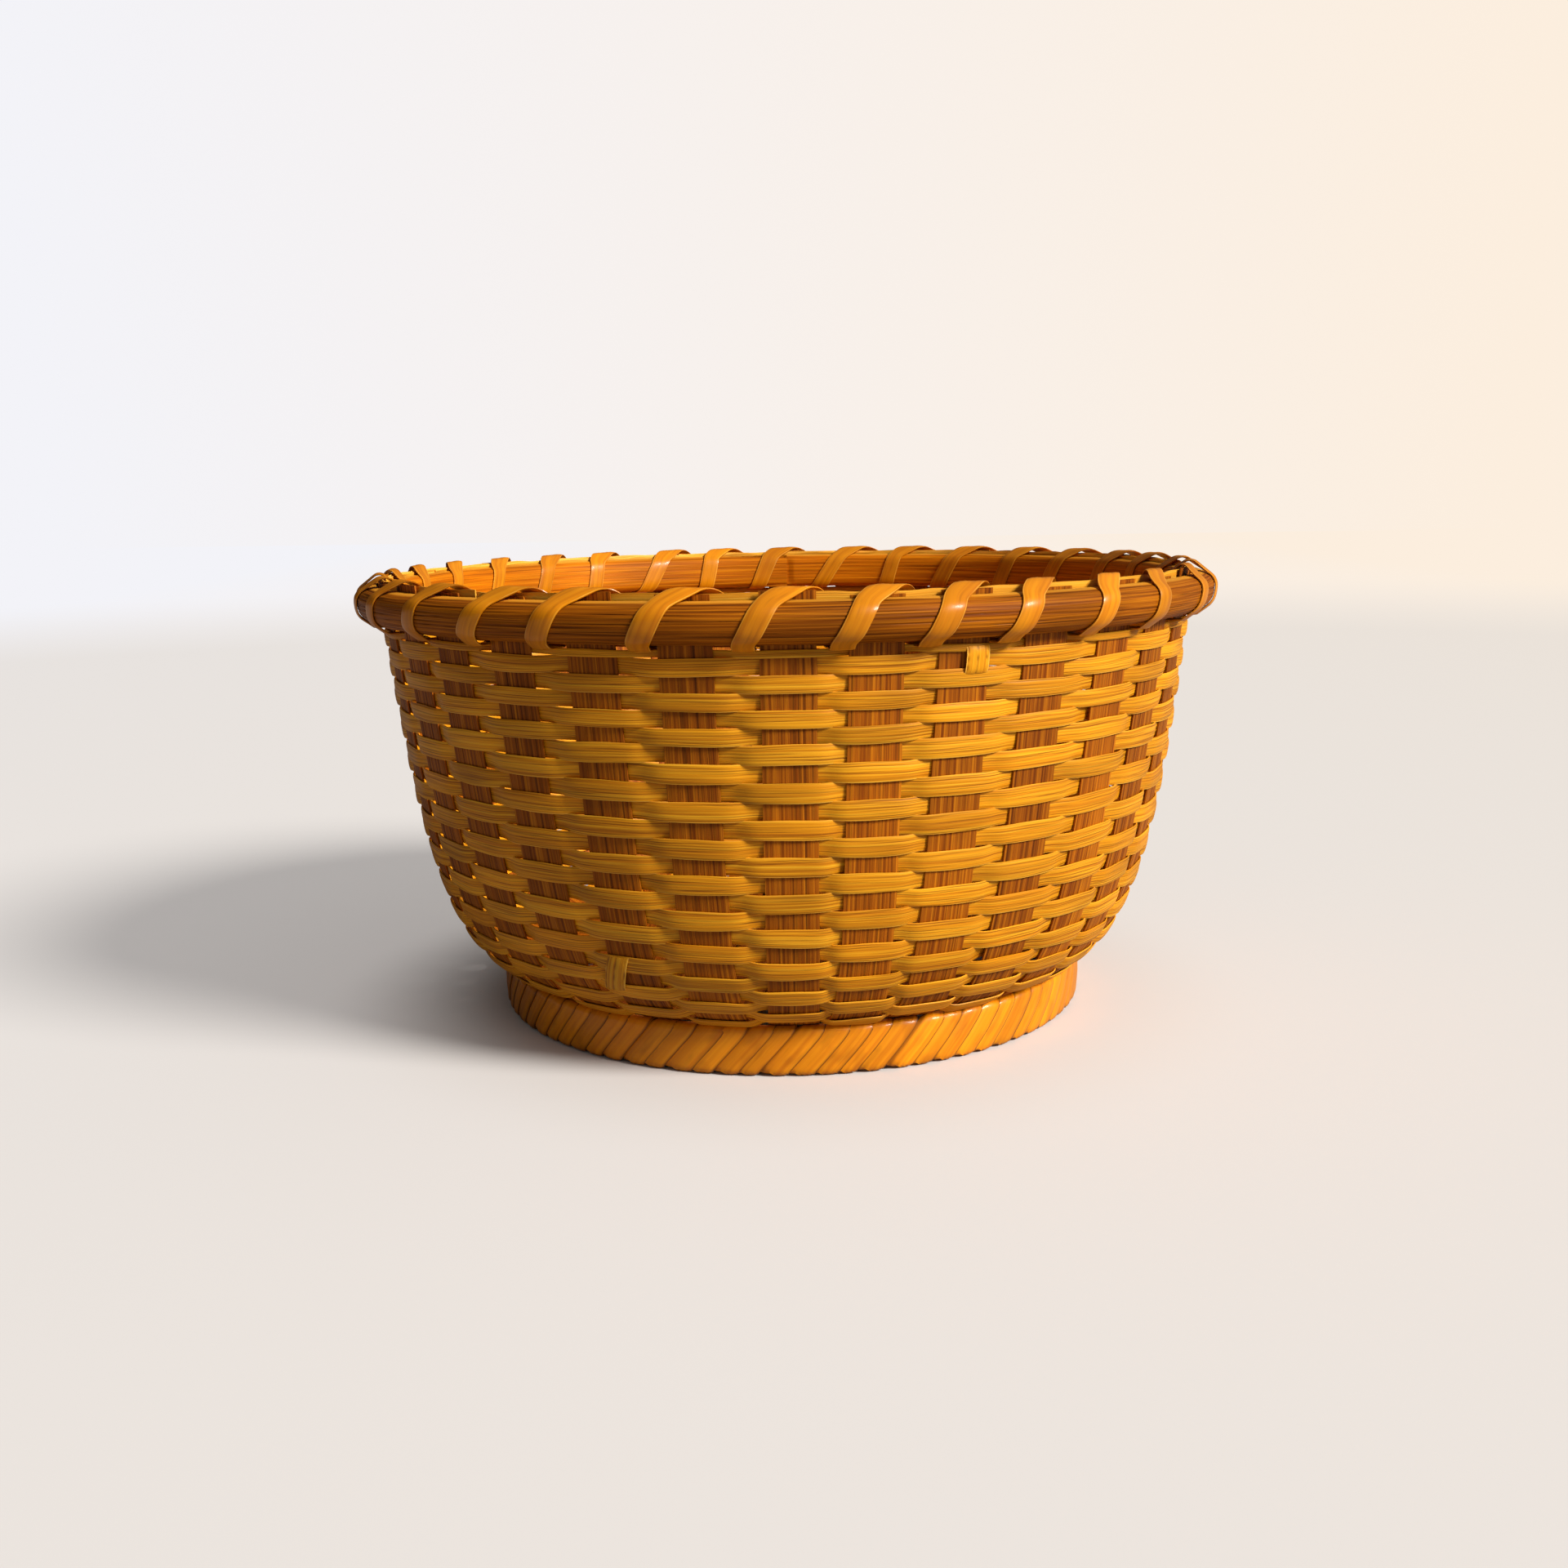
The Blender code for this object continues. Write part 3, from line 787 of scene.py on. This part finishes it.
makePiece("outer_band_bamboo", [bandPart(rim["outer"], 61)], bandFinish, "rim_band_bamboo", "rim_outer_band")
# the inner band wears the brighter copy of the band's colours, a painted light on the inside
makePiece("inner_band_bamboo", [bandPart(rim["inner"], 62)], innerBandLitFinish, "rim_band_bamboo", "rim_inner_band")

filler = {
    "near": -0.66 * mm,
    "thickness": 0.36 * mm,
    "step": 0.40 * mm,
    "top": 92.10 * mm,
    "bottom": 85.3 * mm,
    "lengths": 3,
    "gap": 0.012,              # of a turn, between one length and the next
    "stations": 150,
    "columns": (14, 6),
    "grooves": {"count": 4, "width": 0.05, "wander": 0.05, "waves": 30, "depth": 0.04 * mm},
}


def fillerPart(layer, number):
    # one length of a layer: a thin upright strip beside the stakes whose top edge wanders up and down
    f = filler
    start = (number + 0.45 * layer) / f["lengths"]
    turns = np.linspace(start, start + 1 / f["lengths"] - f["gap"], f["stations"])
    seed = 70 + 10 * layer + number
    section = stripSection(f["columns"], f["thickness"], 0.4, 0.4)
    heights, values = dressedSection(turns, section, f["grooves"], seed, (0, 0.4))
    x = section[0]
    top = f["top"] - 0.25 * mm * layer + 0.14 * mm * np.clip(drift(turns, seed, 3, 60), -2, 1)
    levels = (top + f["bottom"])[:, None] / 2 + (top - f["bottom"])[:, None] / 2 * x
    radii = wallRadius(levels) + f["near"] - f["thickness"] / 2 - layer * f["step"] - heights
    points = turnedTo(radii, turns[:, None] * 2 * np.pi, levels)
    along = turns * 2 * np.pi * wall["mouthRadius"] / mm
    tone = 0.5 * drift(turns, seed + 5, 1, 30)[:, None]
    return gridPart(points, False, along, section, (f["top"] - f["bottom"]) / 2, values, tone, seed * 0.3)


fillerParts = [fillerPart(layer, number) for layer in (0, 1) for number in range(filler["lengths"])]
makePiece("filler_strips_bamboo", fillerParts, fillerFinish, "rim_filler_bamboo", "rim_filler")
print("rim bands and filler made")


# wound strips: the rim's lashing and the foot's wrap

def arcPoints(middle, radius, count=24):
    turn = np.arange(count) / count * 2 * np.pi
    return np.asarray(middle) + radius * np.column_stack((np.cos(turn), np.sin(turn)))


def tautLoop(points, clear, count):
    # the line of a strip drawn tight round some points of (radius, height): in each direction the furthest point,
    # moved out by a clearance; it starts below and rises on the outer side
    turn = np.arange(6000) / 6000 * 2 * np.pi - np.pi / 2
    facing = np.column_stack((np.cos(turn), np.sin(turn)))
    line = points[np.argmax(points @ facing.T, axis=0)] + facing * clear
    line = np.vstack((line, line[:1]))
    arcs = lengthsAlong(line) * mm
    even = np.linspace(0, arcs[-1], count + 1)
    line = np.column_stack([np.interp(even, arcs, line[:, k]) for k in (0, 1)])
    ahead = unit(np.vstack((line[1:], line[1:2])) - np.vstack((line[-2:-1], line[:-1])))
    return even, line, np.column_stack((ahead[:, 1], -ahead[:, 0]))


def loopAt(loop, arc):
    # radius, height and outward direction at a length round the loop
    arcs, line, normals = loop
    arc = np.mod(arc, arcs[-1])
    (r, z), (nr, nz) = ([np.interp(arc, arcs, table[:, k]) for k in (0, 1)] for table in (line, normals))
    size = np.hypot(nr, nz)
    return r, z, nr / size, nz / size


def evened(values, width):
    # the mean of each value and its neighbours, round the whole strip, whose last value leads on to its first
    span = np.arange(-width, width + 1)
    weights = np.cos(span / (width + 1) * np.pi / 2) ** 2
    places = np.arange(values.size)[:, None] + span
    laps = places // values.size
    return ((values[places % values.size] + laps * 2 * np.pi) @ weights) / weights.sum()


def woundPart(loop, turns, stations, knots, angles, even, reach, section, half, slope, bow, grooves, seed, pale,
              tone, strand):
    # a strip laid on the skin of a ring: its middle goes (length round the loop, reach * angle round the ring), and a
    # point of its section lies x beside it on that skin and h + slope x + bow (1 - x^2) out of it
    length = loop[0][-1]
    arc = np.arange(turns * stations) / stations * length
    places = (np.arange(turns)[:, None] * length + np.asarray(knots) * length).ravel()
    angle = evened(np.interp(arc, np.append(places, turns * length), np.append(angles.ravel(), angles[0, 0] + 2 * np.pi)), even)
    flat = np.column_stack((arc, angle * reach))
    onward = np.array((turns * length, 2 * np.pi * reach))
    ahead = unit(np.vstack((flat[1:], flat[:1] + onward)) - np.vstack((flat[-1:] - onward, flat[:-1])))
    along = lengthsAlong(np.vstack((flat, flat[:1] + onward)))
    # the narrow side faces get the dark value 0.9: painted shade along both sides of each wound strip
    heights, values = dressedSection(along[:-1] / along[-1], section, grooves, seed, pale, 0.9)
    share = section[0]
    x = share * half[:, None]
    facing = smooth(loopAt(loop, arc)[2], -0.1, 0.7)[:, None]
    heights = heights + x * np.tan(slope) * (0.7 + 0.3 * facing) + bow * (1 - share**2) * facing * section[2]
    r, z, nr, nz = loopAt(loop, arc[:, None] - ahead[:, 1:] * x)
    points = turnedTo(r + nr * heights, angle[:, None] + ahead[:, :1] * x / reach, z + nz * heights)
    return gridPart(points, True, along, section, float(half.mean()), values, tone[:, None], strand)


lash = {
    "width": 4.0 * mm,
    "thickness": 0.36 * mm,
    "clear": 0.27 * mm,
    "crown": (-0.15 * mm, 91.15 * mm, 1.58 * mm),      # from the wall, height and radius of the arch over the stakes
    "curl": (1.9 * mm, 83.5 * mm, 0.55 * mm),           # the same of the curl below the band
    "knots": (0.07, 0.35, 0.56, 0.90),                  # shares of the way round: face's foot and head, inside's head and foot
    "seenFirst": 21,
    "seenShift": (1.2, 0.15, 1.4, 1.85, 1.4, 0.05, -1.4, -1.1, -1.65, 1.2),             # degrees
    "seenLean": (0.32, 0.30, 0.28, 0.27, 0.25, 0.24, 0.23, 0.22, 0.20, 0.19),
    "otherShift": 1.1,
    "middle": 0.12,            # of a stake's pitch, where the outer face's middle lies
    "topLean": 0.46,
    "lowReach": 1.1,           # degrees that a turn may pass beside the middle of its gap
    "bow": 0.16 * mm,
    "columns": (18, 7),
    "stations": 72,
    "grooves": {"count": 5, "width": 0.05, "wander": 0.06, "waves": 200, "depth": 0.018 * mm},
}


def lashPart(l):
    # each turn goes over the outer band, over the stake's end, over the inner band and back between two stakes
    dice = np.random.default_rng(12)
    turns = np.arange(stakeCount)
    shift = dice.uniform(-1, 1, stakeCount) * l["otherShift"]
    lean = dice.uniform(0.19, 0.31, stakeCount)
    seen = slice(l["seenFirst"], l["seenFirst"] + len(l["seenShift"]))
    shift[seen], lean[seen] = l["seenShift"], l["seenLean"]
    gap = turns * stakeStep + (stakeDrift + np.roll(stakeDrift, 1)) / 2
    middle = (turns + l["middle"]) * stakeStep + np.radians(shift)
    aside = np.radians(l["lowReach"])
    low = np.clip(middle - lean * stakeStep / 2, gap - aside, gap + aside)
    high = middle + lean * stakeStep / 2
    innerHigh = high + l["topLean"] * stakeStep
    innerLow = np.append(low[1:], low[0] + 2 * np.pi)
    x = np.linspace(-1, 1, 41)
    rounds = [arcPoints((wallRadius(level) + aside, level), radius) for aside, level, radius in (l["crown"], l["curl"])]
    loop = tautLoop(np.vstack((bandFace(rim["outer"], x), bandFace(rim["inner"], x), *rounds)), l["clear"], 900)
    angles = np.column_stack((low, high, innerHigh, innerLow))
    share = np.arange(stakeCount * l["stations"]) / (stakeCount * l["stations"])
    section = stripSection(l["columns"], l["thickness"], 0.55, 0.5)
    half = l["width"] / 2 * (1 + 0.04 * drift(share, 91, 8, 90))
    tone = 0.5 * drift(share, 92, 6, 70)
    # the edges pale by 0.5 and 0.7 towards the edge colour: a painted highlight along both edges of each turn
    return woundPart(loop, stakeCount, l["stations"], l["knots"], angles, 3, wall["mouthRadius"], section, half, 0,
                     l["bow"], l["grooves"], 93, (0.5, 0.7), tone, 5.1)


makePiece("lashing_bamboo", [lashPart(lash)], lashFinish, "lash_bamboo", "rim_lashing")
print("lashing made")

foot = {
    "turns": 41,
    "strands": 2,
    "skin": ((61.80 * mm, 1.30 * mm, 0.5 * mm), (61.9 * mm, 4.8 * mm, 0.6 * mm), (61.6 * mm, 8.70 * mm, 0.75 * mm),
             (59.2 * mm, 6.9 * mm, 0.6 * mm), (59.2 * mm, 1.40 * mm, 0.6 * mm)),
    "clear": 0.20 * mm,
    "thickness": 0.40 * mm,
    "width": 4.5 * mm,
    "widths": (0.95, 1.28),
    "knots": (0.02, 0.42),
    "climb": 0.88,             # share of a turn's way round the ring that it goes on its outer face
    "wander": 0.085,
    "slope": 6.5,              # degrees, so that each turn lies over the edge of the next
    "bow": 0.28 * mm,
    "seamShade": (0.9, 0.7),        # painted shade: how dark the strips get towards the raised and the covered edge, where the turns overlap
    "lineShow": 0.2,
    "columns": (18, 5),
    "stations": 44,
    "grooves": {"count": 4, "width": 0.06, "wander": 0.08, "waves": 200, "depth": 0.02 * mm},
    "hoop": (61.25 * mm, 58.9 * mm, 1.5 * mm, 8.6 * mm, 7.2 * mm),
    "hoopStations": 360,
}


def wrapPart(f, strand):
    # each turn leans over the outer face and comes back almost straight under the base and the foot
    dice = np.random.default_rng(31 + strand)
    loop = tautLoop(np.vstack([arcPoints((r, z), radius) for r, z, radius in f["skin"]]), f["clear"], 700)
    pitch = 2 * np.pi / f["turns"]
    starts = np.arange(f["turns"]) + strand / f["strands"] + dice.uniform(-1, 1, f["turns"]) * f["wander"]
    angles = (starts[:, None] + np.array((0, f["climb"]))) * pitch
    section = stripSection(f["columns"], f["thickness"], 0.5, 0.4)
    half = f["width"] / 2 * np.repeat(dice.uniform(*f["widths"], f["turns"]), f["stations"])
    tone = np.repeat(np.clip(dice.normal(0, 0.5, f["turns"]), -1.3, 1), f["stations"])
    part = woundPart(loop, f["turns"], f["stations"], f["knots"], angles, 4, f["skin"][0][0], section, half,
                     math.radians(f["slope"]), f["bow"], f["grooves"], 33 + strand, (0, 0), tone, 8.3 + strand)
    # painted shade between overlapping turns: dark along the raised edge and where the next turn covers the strip
    raised, covered = f["seamShade"]
    seamShade = (raised * smooth(section[0], 0.80, 0.98) + covered * smooth(section[0], -0.5, -0.8)) * section[2]
    lines = part["values"]["groove"].reshape(half.size, -1) * f["lineShow"]
    part["values"]["groove"] = np.maximum(lines, seamShade).ravel()
    return part


def hoopPart(f):
    # a hoop with a four-cornered section, its corners rounded
    outer, inner, bottom, outerTop, innerTop = f["hoop"]
    corners = np.array(((outer, bottom), (outer, outerTop), (inner, innerTop), (inner, bottom)))
    a = corners * 0.85 + np.roll(corners, 1, axis=0) * 0.15
    b = corners * 0.85 + np.roll(corners, -1, axis=0) * 0.15
    ring = np.stack((a, corners * 0.6 + (a + b) * 0.2, b, b * 0.5 + np.roll(a, -1, axis=0) * 0.5), axis=1).reshape(-1, 2)
    turns = np.arange(f["hoopStations"]) / f["hoopStations"]
    radii = ring[:, 0] + 0.05 * mm * drift(turns, 41, 5, 40)[:, None]
    points = turnedTo(radii, turns[:, None] * 2 * np.pi, ring[:, 1] + 0 * radii)
    along = np.arange(f["hoopStations"] + 1) / f["hoopStations"] * 2 * np.pi * outer / mm
    section = (ring[:, 0], ring[:, 1], ring[:, 0] > 0)
    return gridPart(points, True, along, section, 1.0, 0, 0.4 * drift(turns, 42, 2, 20)[:, None], 2.2)


makePiece("wound_foot_bamboo", [wrapPart(foot, k) for k in range(foot["strands"])], wrapFinish,
          "foot_wrap_bamboo", "foot_wrap")
makePiece("foot_ring_bamboo", [hoopPart(foot)], hoopFinish, "foot_hoop_bamboo", "foot_hoop")
print("foot made")
